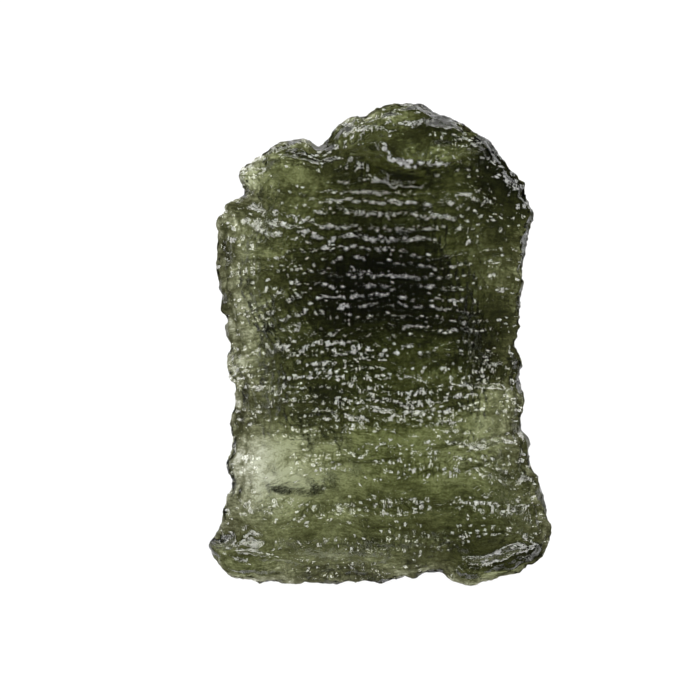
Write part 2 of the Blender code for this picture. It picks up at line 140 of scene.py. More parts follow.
def placed(name, data):
    """An object at the origin that shows this data."""
    thing = bpy.data.objects.new(name, data)
    scene.collection.objects.link(thing)
    return thing


def new_object(name, shape):
    """Turns a bmesh into an object."""
    data = bpy.data.meshes.new(name)
    shape.to_mesh(data)
    shape.free()
    return placed(name, data)


def remeshed(thing, voxel):
    """The same shape with an even skin of square faces."""
    remesh = thing.modifiers.new("even skin", "REMESH")
    remesh.mode = "VOXEL"
    remesh.voxel_size = voxel
    graph = bpy.context.evaluated_depsgraph_get()
    data = bpy.data.meshes.new_from_object(thing.evaluated_get(graph))
    thing.modifiers.clear()
    thing.data = data
    return thing


def flat_slab():
    shape = bmesh.new()
    corners = [shape.verts.new((x, y, -SLAB_HALF)) for x, y in rim]
    bottom = bmesh.ops.contextual_create(shape, geom=corners)["faces"]
    raised = bmesh.ops.extrude_face_region(shape, geom=bottom, use_keep_orig=True)["geom"]
    top = [item for item in raised if isinstance(item, bmesh.types.BMVert)]
    bmesh.ops.translate(shape, verts=top, vec=(0, 0, 2 * SLAB_HALF))
    bmesh.ops.recalc_face_normals(shape, faces=shape.faces)
    return remeshed(new_object("moldavite_stone", shape), SLAB_VOXEL)


stone = flat_slab()
print("the slab has", len(stone.data.vertices), "points")

# %% [markdown]
# ## Points as rows of numbers
# From here on the stone takes shape by moving its points. Sculpting brushes could do that, but
# nobody could make the same stone twice with them. So the points are read as rows of three
# numbers, moved together by formulas, and written back. The helpers measure how far a point is
# from the rim, give smooth noise in layers, and fade an oval patch.

# %% Points as rows of numbers
SEED_STEP = 17.3  # how far apart in the noise two seeds are
FLAT = (1, 1, 0)  # takes the height off a point, so that noise is the same above and below


def read_points(thing, what="co"):
    """The points' places, or their normals."""
    rows = np.empty(len(thing.data.vertices) * 3)
    thing.data.vertices.foreach_get(what, rows)
    return rows.reshape(-1, 3)


def write_points(thing, points):
    thing.data.vertices.foreach_set("co", points.ravel())
    thing.data.update()


def distance_to_rim(points):
    """How far each point is from the rim, measured level."""
    finder = kdtree.KDTree(len(rim))
    for index, (x, y) in enumerate(rim):
        finder.insert((x, y, 0), index)
    finder.balance()
    return np.array([finder.find((x, y, 0))[2] for x, y, _ in points])


def bumps(points, size, seed):
    """Smooth noise from -1 to 1 whose lumps are about this size."""
    moved = points / size + seed * SEED_STEP
    return np.array([noise.noise(Vector(p)) for p in moved])


def roughened(points, layers, base=0):
    """The base with noise on it, in layers of a height, a size of lumps and a seed."""
    return sum((high * bumps(points, size, seed) for high, size, seed in layers), base)


def oval(points, x, y, half_width, half_height):
    """0 in the middle of an oval, 1 on its edge and more outside it."""
    return ((points[:, 0] - x) / half_width) ** 2 + ((points[:, 1] - y) / half_height) ** 2


def patch(points, *place):
    """1 in the middle of an oval patch, fading to 0 outside it."""
    return np.exp(-oval(points, *place))


print("the rim is at most", distance_to_rim(read_points(stone)).max().round(1), "mm away")

# %% [markdown]
# ## Steep and thin rims
# The rim is a steep wall in a few places and a thin edge in the others, and that shows: skin that
# leans over more than 45 degrees mirrors the bright table as a grey band, and a thin edge does
# not. One profile all the way round would be simpler, but it would draw that band everywhere.

# %% Steep and thin rims
FRONT_SHOULDER = 1.0  # how far in from a steep rim the front becomes level
FRONT_TAPER = 3.6  # and how far in from a thin rim
THIN_RIM = 0.15  # how steep the thin parts of the rim are
# Where the rim is a steep wall: x, y, half width, half height
STEEP_RIMS = (
    (9.6, 2.4, 1.8, 4.6), (9.2, 10.5, 2.4, 3.5), (3.5, 14.6, 6, 3.4),
    (-5, 12.6, 4.2, 3.2), (8.2, -14.8, 3.5, 1.4), (-9.5, -14.6, 2.4, 1.4),
)


def shoulder(distance, reach):
    """0 at the rim, rising steeply and then levelling off at 1."""
    inward = 1 - np.clip(distance / reach, 0, 1)
    return np.sqrt(1 - inward**2)


def taper(distance, reach):
    """0 at the rim, rising gently all the way to 1."""
    inward = np.clip(distance / reach, 0, 1)
    return 0.5 * inward + 0.5 * inward**2 * (3 - 2 * inward)


def steepness(points):
    """1 where the rim is a steep wall, down to THIN_RIM where it is a thin edge."""
    return np.clip(THIN_RIM + sum(patch(points, *place) for place in STEEP_RIMS), 0, 1)


print("steep walls take up", round(100 * (steepness(rim) > 0.5).mean()), "percent of the rim")

# %% [markdown]
# ## The body
# The slab's two faces are now lifted and lowered. The front is nearly level, and the back is
# deeper under the middle, like a shallow keel. A flattened ball would be a quicker start, but
# here a few swells say where each side stands proud or sinks, and slow noise stops it from
# looking turned on a lathe. The thickness matters more than usual, because it sets how dark the
# glass looks.

# %% The body
# Heights above and below the rim's middle plane, in millimetres
RIM_UP = 0.5
RIM_DOWN = 0.55
THIN_EDGE = 0.4  # share of those two heights where the rim is not steep at all
FRONT_RISE = 2.3
BACK_DEPTH = 5.0
BACK_BASE = 0.34  # share of that depth away from the bulges
BACK_SHOULDER = 7.5
# Where the front stands proud or sinks: x, y, half width, half height, rise
FRONT_SWELLS = (
    (3.2, 14.3, 4.8, 2.1, 1.1), (0.5, 10.6, 5, 2.4, -0.2), (-6, 11.8, 2.6, 1.6, 0.35),
    (0, 4.5, 6, 5, 0.4), (7.2, 3, 1.8, 5.5, -0.4), (-8.4, 2.5, 2, 6, -0.15),
    (-8.6, -8.2, 3.2, 2.6, -0.5), (0.5, -9.6, 6, 1.4, -0.15), (1, -13.6, 7, 1.6, 0.15),
)
# Where the back bulges or is hollowed: x, y, half width, half height, share of BACK_DEPTH
BACK_SWELLS = (
    (0.6, 4.6, 5.8, 5.6, 0.36), (0.2, -2.2, 4.2, 4.6, 0.4), (4, -10.5, 6, 3.6, 0.2),
    (-7.4, -8, 4.8, 3.3, -0.34), (-9.5, 3, 2, 7, -0.12), (6, 12, 3.5, 2.5, 0.15),
)
# Slow noise on the back's depth and on the whole stone: height, size of the lumps, seed
BACK_LUMPS = ((0.3, 6.0, 3), (0.16, 2.8, 6))
WAVES = ((0.3, 7.0, 2), (0.2, 3.2, 4))


def swell(thing):
    """Turns the flat slab into the stone's body."""
    points = read_points(thing)
    inside, steep = distance_to_rim(points), steepness(points)
    wall = shoulder(inside, FRONT_SHOULDER)
    profile = steep * wall + (1 - steep) * taper(inside, FRONT_TAPER)
    edge = THIN_EDGE + (1 - THIN_EDGE) * steep
    rise = sum(high * patch(points, *place) for *place, high in FRONT_SWELLS)
    front = RIM_UP * edge + FRONT_RISE * profile + rise * wall
    share = BACK_BASE + sum(high * patch(points, *place) for *place, high in BACK_SWELLS)
    back = RIM_DOWN * edge + BACK_DEPTH * share * shoulder(inside, BACK_SHOULDER)
    back = back * roughened(points * FLAT, BACK_LUMPS, 1)
    up = points[:, 2]
    points[:, 2] = np.where(up > 0, up * front, up * back) + roughened(points * FLAT, WAVES)
    write_points(thing, points)


swell(stone)
print("the body is", round(float(np.ptp(read_points(stone)[:, 2])), 1), "mm thick")

# %% [markdown]
# ## A finer front
# The etched rows are under a millimetre apart, so the skin has to be fine where they are seen.
# One voxel size for all of it would spend most faces on the hidden back. Instead the body is
# remeshed and only the faces that look up are subdivided.

# %% A finer front
BODY_VOXEL = 0.325
LOOKS_UP = -0.2  # the height of the normal from which a face counts as front


def finer_front(thing):
    shape = bmesh.new()
    shape.from_mesh(thing.data)
    shape.normal_update()
    front = {edge for face in shape.faces if face.normal.z > LOOKS_UP for edge in face.edges}
    edges = sorted(front, key=lambda edge: edge.index)
    bmesh.ops.subdivide_edges(shape, edges=edges, cuts=2, use_grid_fill=True)
    bmesh.ops.smooth_vert(
        shape, verts=shape.verts, factor=0.5, use_axis_x=True, use_axis_y=True, use_axis_z=True
    )
    shape.to_mesh(thing.data)
    shape.free()
    thing.data.update()


remeshed(stone, BODY_VOXEL)
finer_front(stone)
print("the body has", len(stone.data.vertices), "points")

# %% [markdown]
# ## Rows of pits
# Wet ground etched the glass along the streaks that it was drawn out in, so its pits are long
# and stand in rows. A noise texture alone gives no rows. Here each row is cut in cells of a
# length, every cell is shifted by a repeatable number, and the height at a point is its distance
# from the nearest cell's middle: low on the pit's floor and sharp on the walls between rows.

# %% Rows of pits
ROW_PIT = (0.5, 0.76)  # length of the front's pits and spacing of their rows, in millimetres
SHORTEST, SPREAD = 0.75, 0.8  # the shortest pits' share of that length, and what others add
STRAY = 0.4  # how far a pit's middle may stray, as a share of its cell
SHALLOWEST = 0.9  # how high the floor of a pit may be
WALL_TOP = 1.25


def hashed(i, j, seed):
    """A repeatable number from 0 to 1 for each cell of a grid."""
    return np.modf(np.abs(np.sin(i * 127.1 + j * 311.7 + seed * 74.7)) * 43758.5453)[0]


def pit_field(along, across, pit, seed, sides=1.0):
    """Pits in rows: 0 on a pit's floor, about 1 on its walls; sides of 0.5 make it a cone."""
    mean_length, spacing = pit
    row = np.floor(across / spacing)
    nearest = np.full(len(along), WALL_TOP)
    for next_row in (row - 1, row, row + 1):
        shift = hashed(next_row, 0, seed)
        length = mean_length * (SHORTEST + SPREAD * hashed(next_row, 5, seed) ** 2)
        cell = np.floor(along / length + shift)
        for next_cell in (cell - 1, cell, cell + 1):
            middle = next_cell + 0.5 - shift + STRAY * (hashed(next_cell, next_row, seed + 1) - 0.5)
            height = next_row + 0.5 + STRAY * (hashed(next_cell, next_row, seed + 2) - 0.5)
            u = (across - height * spacing) / (spacing / 2)
            v = (along - middle * length) / (length / 2)
            floor = SHALLOWEST * hashed(next_cell, next_row, seed + 3) ** 2
            nearest = np.minimum(nearest, (u**2 + v**2) ** sides + floor)
    return nearest


print("the rows are", ROW_PIT[1], "mm apart")

# %% [markdown]
# ## Rows that slant
# The rows are level over most of the front, and in six places they slant. Turning the whole field
# would tilt every row, so the same pits are drawn again on turned axes and blended in where they
# belong. Slow noise, given by height, size and seed, makes all rows wander.

# %% Rows that slant
# Where the rows slant: x, y, half width, half height, degrees turned
TURNS = (
    (-7.5, 8.6, 4.6, 3.4, -24), (-6.8, 1.2, 5.2, 3.4, 30), (1, -0.4, 4.5, 1.8, 20),
    (7.6, 9.6, 2.6, 2.6, -30), (-6.5, -9.6, 4.5, 2.6, 28), (6.5, -8.5, 4, 2.4, -12),
)
WANDER = ((0.5, 2.6, 5), (0.22, 1.2, 6))
ALONG_ROWS = (0.55, 1, 0)  # draws that noise out along the rows
BLEND, BLEND_FROM = 4, 1.6  # how sharply a slanting place is blended in, and from where


def wandering(points):
    """How far the rows wander up and down from level."""
    return roughened(points * ALONG_ROWS, WANDER)


def etched_rows(points):
    """The pits of the whole front: level rows, and turned ones in the places above."""
    x, y, wander = points[:, 0], points[:, 1], wandering(points)
    heights = pit_field(x, y + wander, ROW_PIT, 1)
    for *place, degrees in TURNS:
        share = np.clip(BLEND * patch(points, *place) - BLEND_FROM, 0, 1)
        turn = radians(degrees)
        along = x * cos(turn) + y * sin(turn)
        across = y * cos(turn) - x * sin(turn) + wander
        heights = heights + share * (pit_field(along, across, ROW_PIT, 1 + degrees) - heights)
    return heights


rows = etched_rows(read_points(stone))
print("pit heights run from", rows.min().round(2), "to", rows.max().round(2))

# %% [markdown]
# ## Ribs, furrows and knobs
# Some marks have a place of their own: folded ribs at the upper end, a dark furrow below the top
# lobe, thin cracks across the middle and a ledge at each lower corner. Each could be modelled as
# a piece, but then it would show a seam. Here each is one row of numbers, a short line or a round
# spot with a width and a height, and noise bends it a little.

# %% Ribs, furrows and knobs
# Raised ribs on the front: x and y of both ends, width, height
RIBS = (
    (-0.3, 13.1, 0.7, 12.3, 0.3, 0.34), (0.7, 12.3, 2, 11.8, 0.26, 0.34),
    (2, 11.8, 3.3, 11.75, 0.28, 0.2), (3.7, 11.9, 5.5, 12.3, 0.25, 0.14),
    (-1.15, 12.2, -1.1, 10.8, 0.12, 0.25), (-0.8, 12, -0.8, 10.9, 0.1, 0.2),
    (3.7, 11.1, 3.75, 10.2, 0.12, 0.22), (-7.6, 13.2, -4.6, 12.4, 0.16, 0.2),
    (-6.9, 12.7, -4.2, 11.9, 0.14, 0.18), (-10.1, 9.15, -8.5, 8.85, 0.26, 0.35),
    (5.2, -15, 10.1, -13.75, 0.22, 0.25), (-11.2, -13.3, -7.9, -14, 0.2, 0.3),
    (-7.9, -14, -5.2, -14.5, 0.2, 0.25), (7.7, -3, 9, -4.4, 0.4, 0.25),
    (6.2, -6.9, 9.5, -6.5, 0.35, 0.22),
)
# Furrows cut into the front: x and y of both ends, width, depth
FURROWS = (
    (-1.9, 12.7, -0.2, 11.6, 0.4, 0.4), (-0.2, 11.6, 2.6, 11, 0.42, 0.45),
    (0.8, 12.9, 1.6, 12.1, 0.2, 0.14), (1.6, 12.1, 3.2, 11.6, 0.18, 0.14),
    (3.2, 11.6, 5.9, 11.9, 0.14, 0.11), (-7, 13, -4.4, 12.2, 0.13, 0.11),
    (-8.7, 9.75, -7.6, 9.4, 0.3, 0.5), (-3.2, -7.75, 1.2, -7.6, 0.15, 0.04),
    (3.4, -6.8, 4.9, -6.65, 0.16, 0.04), (4.9, -6.65, 8.8, -5.7, 0.15, 0.04),
    (-5.4, -6.7, -2.6, -6.1, 0.16, 0.04), (4.8, -8.4, 8, -7.4, 0.15, 0.04),
    (3.2, -1.5, 5.2, -0.85, 0.2, 0.05), (4.2, -4.4, 6.2, -3.6, 0.2, 0.05),
    (5.8, -2.3, 8.4, -2.7, 0.25, 0.3), (4.8, -14.3, 9.2, -13.2, 0.35, 0.18),
)
# Round knobs, pits and dishes: x, y, radius, height
KNOBS = (
    (-2.3, 13.9, 0.42, 0.35), (-1.65, 14.8, 0.36, 0.3), (-0.95, 14.2, 0.4, 0.32),
    (0.05, 15.2, 0.4, 0.3), (1.05, 15.5, 0.36, 0.25), (0.1, 14.2, 0.36, 0.25),
    (2.2, 15.6, 0.4, 0.25), (-8.7, 11.3, 0.6, 0.35), (-9.4, 9.3, 0.5, 0.3),
    (-9.6, -2.1, 0.6, 0.3), (-3.7, -9.4, 0.3, -0.28), (4.4, -15, 1, -0.5),
    (-7, -14.9, 1.6, -0.45), (-4.2, 12.9, 0.9, -0.4),
)
BEND = (0.28, 1.2, 60)  # how far a line is bent, the size of the bends, seed


def along_line(points, x0, y0, x1, y1, width):
    """1 on a straight line between two points, fading to 0 beside it."""
    start, run = np.array((x0, y0)), np.array((x1 - x0, y1 - y0))
    offset = points[:, :2] - start
    share = np.clip(offset @ run / (run @ run), 0, 1)
    gap = np.linalg.norm(offset - share[:, None] * run, axis=1)
    return np.exp(-((gap / width) ** 2))


def shaken(points, reach, size, seed):
    """The points moved sideways by noise, so that what is drawn straight comes out crooked."""
    shift = np.zeros_like(points)
    for axis in (0, 1):
        shift[:, axis] = reach * bumps(points, size, seed + axis)
    return points + shift


def placed_marks(points, relief):
    """The relief with the ribs, furrows and knobs on it."""
    bent = shaken(points * FLAT, *BEND)
    relief = relief + sum(high * along_line(bent, *rib) for *rib, high in RIBS)
    relief = relief - sum(deep * along_line(bent, *cut) for *cut, deep in FURROWS)
    for x, y, radius, high in KNOBS:
        relief = relief + high * patch(bent, x, y, radius, radius)
    return relief


print(len(RIBS), "ribs,", len(FURROWS), "furrows and", len(KNOBS), "knobs are placed by hand")

# %% [markdown]
# ## The relief of the front
# Above the middle the rows of pits are deep. In a band across the middle a net of finer pits
# takes over, and below it the rows are faint. One depth for all would look woven, so noise makes
# the etching stronger and weaker, and a few windows are left smooth.

# %% The relief of the front
ROW_DEPTH = 0.15
STRENGTH, SWING = 0.85, 1.1  # the rows' mean strength, and how far noise swings that
WEAKEST, STRONGEST = 0.15, 1.5
FINE_PIT = (0.52, 0.56)
FINE_DEPTH = 0.12
# Noise on the finer pits' rows and on the whole front
FINE_WANDER, FRONT_LUMPS = ((0.4, 1.5, 9),), ((0.1, 1.4, 8),)
MEAN_PIT = 0.6  # the height in a field of pits that leaves the skin where it is
MIDDLE_BAND = (-3.2, 2.6)  # y and half height of the band with the finer pits
FAINT_BELOW, FAINT_FADE = -6.0, 0.6  # the y below which the rows are faint, and how soon
MIDDLE_LOSS, LOWER_LOSS, WINDOW_LOSS = 0.8, 0.6, 0.85  # the share of their depth lost there
# Smooth windows between the pits: x, y, half width, half height
WINDOWS = (
    (2.4, 14.1, 1.3, 0.8), (5.5, 10.8, 1.4, 0.8), (-5.4, -9.4, 2.4, 1.3),
    (1.2, -9.5, 4.2, 0.45), (1, -11.6, 4.8, 0.45), (-4.2, 11.4, 1.3, 0.7),
)


def calmness(points):
    """1 in the smooth windows and 0 outside them."""
    return np.clip(sum(patch(points, *window) for window in WINDOWS), 0, 1)


def front_pits(points):
    """Rows of pits above, a net of finer pits in the middle and faint rows below."""
    x, y = points[:, 0], points[:, 1]
    strength = STRENGTH + SWING * bumps(points * (0.6, 1, 1), 2.0, 30)
    rows = ROW_DEPTH * np.clip(strength, WEAKEST, STRONGEST) * (etched_rows(points) - MEAN_PIT)
    crooked = roughened(points, FINE_WANDER, y)
    fine = FINE_DEPTH * (pit_field(x + 0.3 * y, crooked, FINE_PIT, 7, 0.6) - MEAN_PIT)
    middle = np.exp(-(((y - MIDDLE_BAND[0]) / MIDDLE_BAND[1]) ** 2))
    lower = 1 / (1 + np.exp((y - FAINT_BELOW) / FAINT_FADE))
    rows = rows * (1 - MIDDLE_LOSS * middle) * (1 - LOWER_LOSS * lower)
    pits = (rows + fine * (0.1 + 0.9 * middle)) * (1 - WINDOW_LOSS * calmness(points))
    return roughened(points * (0.5, 1, 1), FRONT_LUMPS, pits)


print(len(WINDOWS), "windows are smooth")

# %% [markdown]
# ## The crumpled rim
# Close to the rim the front is crumpled in sharp folds, and on the rim itself the pits are
# scallops. The front's rows could run on over the rim, but there they would be stretched into
# stripes, so the scallops run along the rim. Folding a noise at 0 makes the sharp creases.

# %% The crumpled rim
CRUMPLE = 0.22  # height of the sharp folds close to the rim
CRUMPLE_REACH = 1.6
FOLD_SIZE = 1.1
MEAN_FOLD, MEAN_SCALLOP = 0.7, 0.8
RIM_RADIUS = 13.0  # turns a bearing from the middle into a length along the rim
RIM_PIT = (1.0, 1.1)
RIM_PIT_DEPTH = 0.25
# Noise on the folds, on the scallops' rows and on the rim
FOLD_GRIT, RIM_WANDER = ((0.5, 0.45, 51),), ((0.7, 2.2, 22),)
RIM_GRIT = ((0.12, 0.8, 20), (0.1, 0.3, 21))


def rim_folds(points):
    """Sharp folds on the front, close to the rim."""
    near = np.exp(-((distance_to_rim(points) / CRUMPLE_REACH) ** 2))
    folds = roughened(points, FOLD_GRIT, 1 - 2 * np.abs(bumps(points, FOLD_SIZE, 50)))
    return near * CRUMPLE * (folds - MEAN_FOLD)


def rim_relief(points):
    """Scallops along the rim, with their rows running level round the stone."""
    along = np.arctan2(points[:, 1], points[:, 0]) * RIM_RADIUS
    across = roughened(points, RIM_WANDER, points[:, 2])
    scallops = RIM_PIT_DEPTH * (pit_field(along, across, RIM_PIT, 23) - MEAN_SCALLOP)
    return roughened(points, RIM_GRIT, scallops)


print("the folds are", CRUMPLE, "mm high")

# %% [markdown]
# ## The back
# The back of this stone is hidden. Such pieces often have larger, softer pits there, so it gets
# those, worn down where the stone rests. A smooth back would be less work, but the table's light
# passes through it, and the pits break that light up.

# %% The back
BACK_PIT = (2.0, 1.6)
BACK_PIT_DEPTH = 0.3
# Noise along and across its rows, and on all of it
BACK_ALONG, BACK_ACROSS = ((1.4, 4.5, 10),), ((1.8, 5.5, 11),)
BACK_BUMPS = ((0.2, 1.8, 13),)
# Where the back is worn: x, y, half width, half height
WORN_SPOT = (0, -0.8, 3.2, 3.6)
WORN_OFF = 0.8  # the share of the relief that is gone there


def back_relief(points):
    """Larger, deeper pits than the front's, round the resting spot."""
    x, y, flat = points[:, 0], points[:, 1], points * FLAT
    along = roughened(flat, BACK_ALONG, x * 0.95 + y * 0.3)
    across = roughened(flat, BACK_ACROSS, y - 0.25 * x)
    pits = BACK_PIT_DEPTH * (pit_field(along, across, BACK_PIT, 12) - MEAN_PIT)
    return (1 - WORN_OFF * patch(points, *WORN_SPOT)) * roughened(points, BACK_BUMPS, pits)


print("the back's pits are", BACK_PIT[0], "mm long")

# %% [markdown]
# ## Etching
# Now the skin itself is moved in or out along its normals. A Displace modifier would do it with
# one texture for the whole stone. Here each side has a relief of its own, and where the skin
# turns from the front to the back the rim's relief takes over.

# %% Etching
SIDE_FADE = 2.2  # how soon skin that turns away from the rim belongs to its side


def carve(thing):
    """Moves every point of the body in or out by the etched relief of its side."""
    points, normals = read_points(thing), read_points(thing, "normal")
    facing = np.clip(normals[:, 2] * SIDE_FADE, -1, 1)
    front = placed_marks(points, front_pits(points) + rim_folds(points))
    relief = np.where(facing > 0, facing * front, -facing * back_relief(points))
    relief = relief + (1 - np.abs(facing)) * rim_relief(points)
    write_points(thing, points + normals * relief[:, None])
    return relief


etching = carve(stone)
print("etched from", etching.min().round(2), "to", etching.max().round(2), "mm")

# %% [markdown]
# ## The resting spot
# A plane slices the lowest glass off level, and one flat face closes the cut. The points could be
# pressed flat instead, but that would bunch them. The real spot is hidden below the stone, and it
# is all that the stone stands on.

# %% The resting spot
FLAT_CUT = 0.9  # glass taken off the lowest part of the back, in millimetres


def cut_resting_spot(thing):
    shape = bmesh.new()
    shape.from_mesh(thing.data)
    lowest = min(vertex.co.z for vertex in shape.verts)
    everything = shape.verts[:] + shape.edges[:] + shape.faces[:]
    plane = {"plane_co": (0, 0, lowest + FLAT_CUT), "plane_no": (0, 0, -1)}
    cut = bmesh.ops.bisect_plane(shape, geom=everything, dist=1e-4, clear_outer=True, **plane)
    edge = [item for item in cut["geom_cut"] if isinstance(item, bmesh.types.BMEdge)]
    bmesh.ops.holes_fill(shape, edges=edge, sides=0)
    bmesh.ops.recalc_face_normals(shape, faces=shape.faces)
    shape.to_mesh(thing.data)
    shape.free()
    return lowest + FLAT_CUT


print("cut level at", round(cut_resting_spot(stone), 2), "mm")

# %% [markdown]
# ## Numbers on the skin
# Real moldavite holds bands of slightly different glass, drawn out along the same streaks as its
# pits. One noise could paint them, but then the painted shade of this stone's dark heart would land
# anywhere. So each point of the skin stores four numbers for the material: "flow", the height
# across the rows; the painted light and shade, which darkens or brightens the glass there; "net",
# how many small frosted dimples it has; and "inside", how far it is from the rim.

# %% Numbers on the skin


def mark(name, values):
    """Stores one number on every point of the stone's skin."""
    layer = stone.data.attributes.new(name, "FLOAT", "POINT")
    layer.data.foreach_set("value", values.astype(np.float32))
    print(name, "runs from", values.min().round(2), "to", values.max().round(2))


def flow_level(points):
    """The height across the streaks of the glass, which slant where the rows of pits do."""
    level = points[:, 1] + wandering(points)
    for x, *place, degrees in TURNS:
        slant = (points[:, 0] - x) * sin(radians(degrees))
        level = level - slant * patch(points, x, *place)
    return level


skin = read_points(stone)
mark("flow", flow_level(skin))

# %% [markdown]
# ## Where shade and light are painted
# Painted shade darkens the heart, the rim, the thin cracks and the walls between the pits, and
# painted light brightens the pale spots. An image texture could do so too, but it would be hard to
# change. Here each place is an oval with an amount, its edge made ragged by noise, and the amounts
# add up.

# %% Where shade and light are painted
# Places with painted shade, or with painted light if below 0: x, y, half width, half height, amount
PAINTED_LIGHT_AND_SHADE_PLACES = (
    (0, 4.4, 5.4, 4.4, 2.7), (1.6, 1.2, 3.6, 1.6, 0.6), (-3.8, 1.6, 2.6, 2.6, 0.5),
    (0.4, 11.3, 3.8, 1.2, 2.2), (-1.6, 12.6, 1.8, 1.3, 0.5), (-4.2, 10.5, 3, 3, 0.1),
    (8.1, 9.4, 2.4, 3.4, 1.1), (7.3, 11.6, 2.8, 2.4, 1.5), (2.6, 14, 2.4, 1.2, 0.9),
    (7.4, 0.9, 2.6, 2.2, 1.7), (7, 6, 2, 3, 0.3), (-5.5, -4.4, 3, 1.2, 0.3),
    (6.8, -14.2, 3.4, 0.9, 1.5), (1.5, -9.8, 6, 0.8, 0.4), (1.5, -12.4, 8, 1.6, 0.6),
    (-0.5, -2.8, 9.5, 2.6, 0.4), (9.6, -10, 1.8, 5, 0.7), (0, -14.6, 8, 1.2, 0.25),
    (-9.2, -12, 1.8, 2.6, 0.6), (-6.9, 4.2, 1.6, 2, 0.3), (-8.4, 9.6, 1, 1, 0.4),
    (-5.8, -1.2, 1.4, 1.4, 0.35), (-3.7, -3.5, 1.6, 1, 0.45), (7.9, -1.6, 1.3, 1.1, 0.5),
    (-7, 4.8, 1.2, 1.2, 0.3), (-0.6, 9.4, 3, 1.4, 0.3), (-3.9, 7.5, 1.2, 1.2, 0.3),
    (5, 9.2, 1.4, 1.2, 0.3), (8.8, 9.8, 1.4, 3, 0.3), (3.5, 15.1, 1.8, 0.8, 0.4),
    (5.3, 2.5, 1.2, 1, 0.3), (9.9, -12.9, 1.5, 1.4, 0.4), (-9.1, -13.1, 1.6, 1, 0.4),
    (0.9, -7.8, 2.2, 0.8, 0.25), (0, -9.5, 11, 5, 0.05), (-7.2, -8.2, 3.9, 2.6, -0.75),
    (-8.8, 3, 1.6, 5.5, -0.45), (-0.5, -7.4, 7, 1.7, -0.5), (7.3, -4.4, 2.2, 2.2, -0.6),
    (5.9, -8.6, 1.8, 1.4, -0.25), (-1.7, 14.2, 1.5, 1.3, -1), (1.3, 15.2, 2.2, 0.6, -0.6),
    (3.2, 13, 2.6, 0.8, -1.3), (5.5, 10.8, 1.5, 0.9, -0.7), (-6.6, 12.2, 1.5, 0.9, -1),
    (-9, 11.2, 1.2, 1.1, -2), (-5.4, 9.9, 1.4, 1.2, -0.3), (-1.1, 11.4, 0.8, 0.9, -0.9),
    (-8, 6.6, 1.2, 1, -0.25), (-10.2, 8.3, 1.1, 1.2, -0.7), (4.2, 6.4, 1.2, 1.4, -0.75),
    (2.6, 0, 1.4, 1.2, -0.5), (-0.2, 1.2, 1.4, 1, -0.5), (-6.9, -9.9, 2.4, 1.4, -0.2),
    (-2.6, -11.6, 1.6, 1.2, -0.4), (-9.8, -1.9, 1, 1.3, -1.1), (-9.4, -4.4, 1, 1, -0.35),
    (5.7, -5.2, 1.8, 1, -0.4), (0.4, -5.7, 4.5, 0.8, -0.3), (4.2, -8.9, 1.8, 0.8, -0.35),
    (-3.2, -8.7, 1.4, 0.8, -0.35), (-8, -11.1, 2, 0.9, -0.35), (-9.8, -14.8, 1.6, 0.8, -0.5),
    (7.9, -15, 1.6, 0.6, -0.9), (8.1, -12.2, 0.9, 0.8, -0.3), (8.9, 3, 0.8, 5, -0.4),
    (3.6, 6, 1.2, 1.2, -0.3), (2.9, -1.5, 1.3, 0.8, -0.35), (5.7, -4.4, 1.2, 0.9, -0.35),
    (0.4, -8.9, 2.6, 0.5, -0.25), (3.8, -7.4, 2, 0.8, -0.25), (5.4, 13.8, 1, 0.8, -0.4),
    (2.7, 13.1, 1.4, 0.7, -0.3), (6.4, 10.5, 0.9, 1.2, -0.3), (-0.1, 1.5, 1.3, 0.8, -0.3),
    (9, 1.8, 0.8, 1.4, -0.35), (-6.4, 12.2, 1, 0.7, -0.3), (-5.1, -6.2, 1.3, 1.2, -0.25),
    (-8, -15.6, 1.8, 0.6, -0.5), (-2.5, -11.5, 1.2, 1, -0.3), (-8.9, 9.4, 1.2, 0.9, 0.6),
    (-4, 12.8, 3.2, 0.6, 0.5), (-2.5, 10, 1.4, 1, 0.3), (1.2, 11.8, 1.3, 0.7, 0.35),
    (-10.8, 5.1, 0.8, 3.4, 0.6), (-6, -0.2, 1, 1.2, 0.3), (-1.8, -0.2, 1.3, 0.8, 0.3),
    (-3.2, -3.4, 1.6, 0.8, 0.3), (1.8, -3.7, 1.6, 0.9, 0.3), (6.8, -1.5, 1.6, 1, 0.3),
    (8, -4.4, 0.9, 0.9, 0.3), (7.9, -8.9, 1.2, 1, 0.3), (7.4, -13.1, 2.4, 0.8, 0.4),
    (-1, -15.5, 3, 0.5, 0.3), (3.4, -11.1, 1.6, 0.9, 0.25), (-9.9, -7.4, 0.6, 1.4, 0.5),
    (8.6, 5.6, 0.9, 2.4, 0.15), (8.4, 11.1, 0.9, 0.9, 0.4), (0.8, 15.4, 1.6, 0.5, -0.5),
    (7.9, 10, 1.4, 0.6, -0.35), (2.2, -1.8, 1.5, 1, -0.3), (3, -5.7, 2.2, 0.6, -0.3),
    (-6.2, -9.6, 1.2, 0.6, -0.25), (-3.9, 1.3, 1, 0.6, -0.3), (-7.3, 6.6, 1.2, 0.6, -0.25),
    (-7.6, 4.8, 1.6, 0.6, 0.3), (6.4, -2.6, 1, 1, 0.3), (-3.8, -14.7, 1.6, 0.6, 0.3),
    (-9.7, -13.4, 0.9, 0.7, 0.3),
)
RAGGED = (1, 2.2, 62)  # how far the ovals' edges stray, the size of the lumps, seed
# painted shade along the rim, made stronger and weaker by noise
RIM_PAINTED_SHADE = 1.15
RIM_MEAN, RIM_SWING = 0.6, 1.1  # the rim's mean share of it, and how far noise swings it
RIM_PAINTED_SHADE_REACH = 1.1
# painted shade on the walls between the pits of the rows
WALL_PAINTED_SHADE = 0.6
WALL_FROM, WALL_FADE = 0.7, 0.4  # the pit height where a wall begins, and how much more is full
WALLS_ABOVE = -6  # only above this y are the walls dark
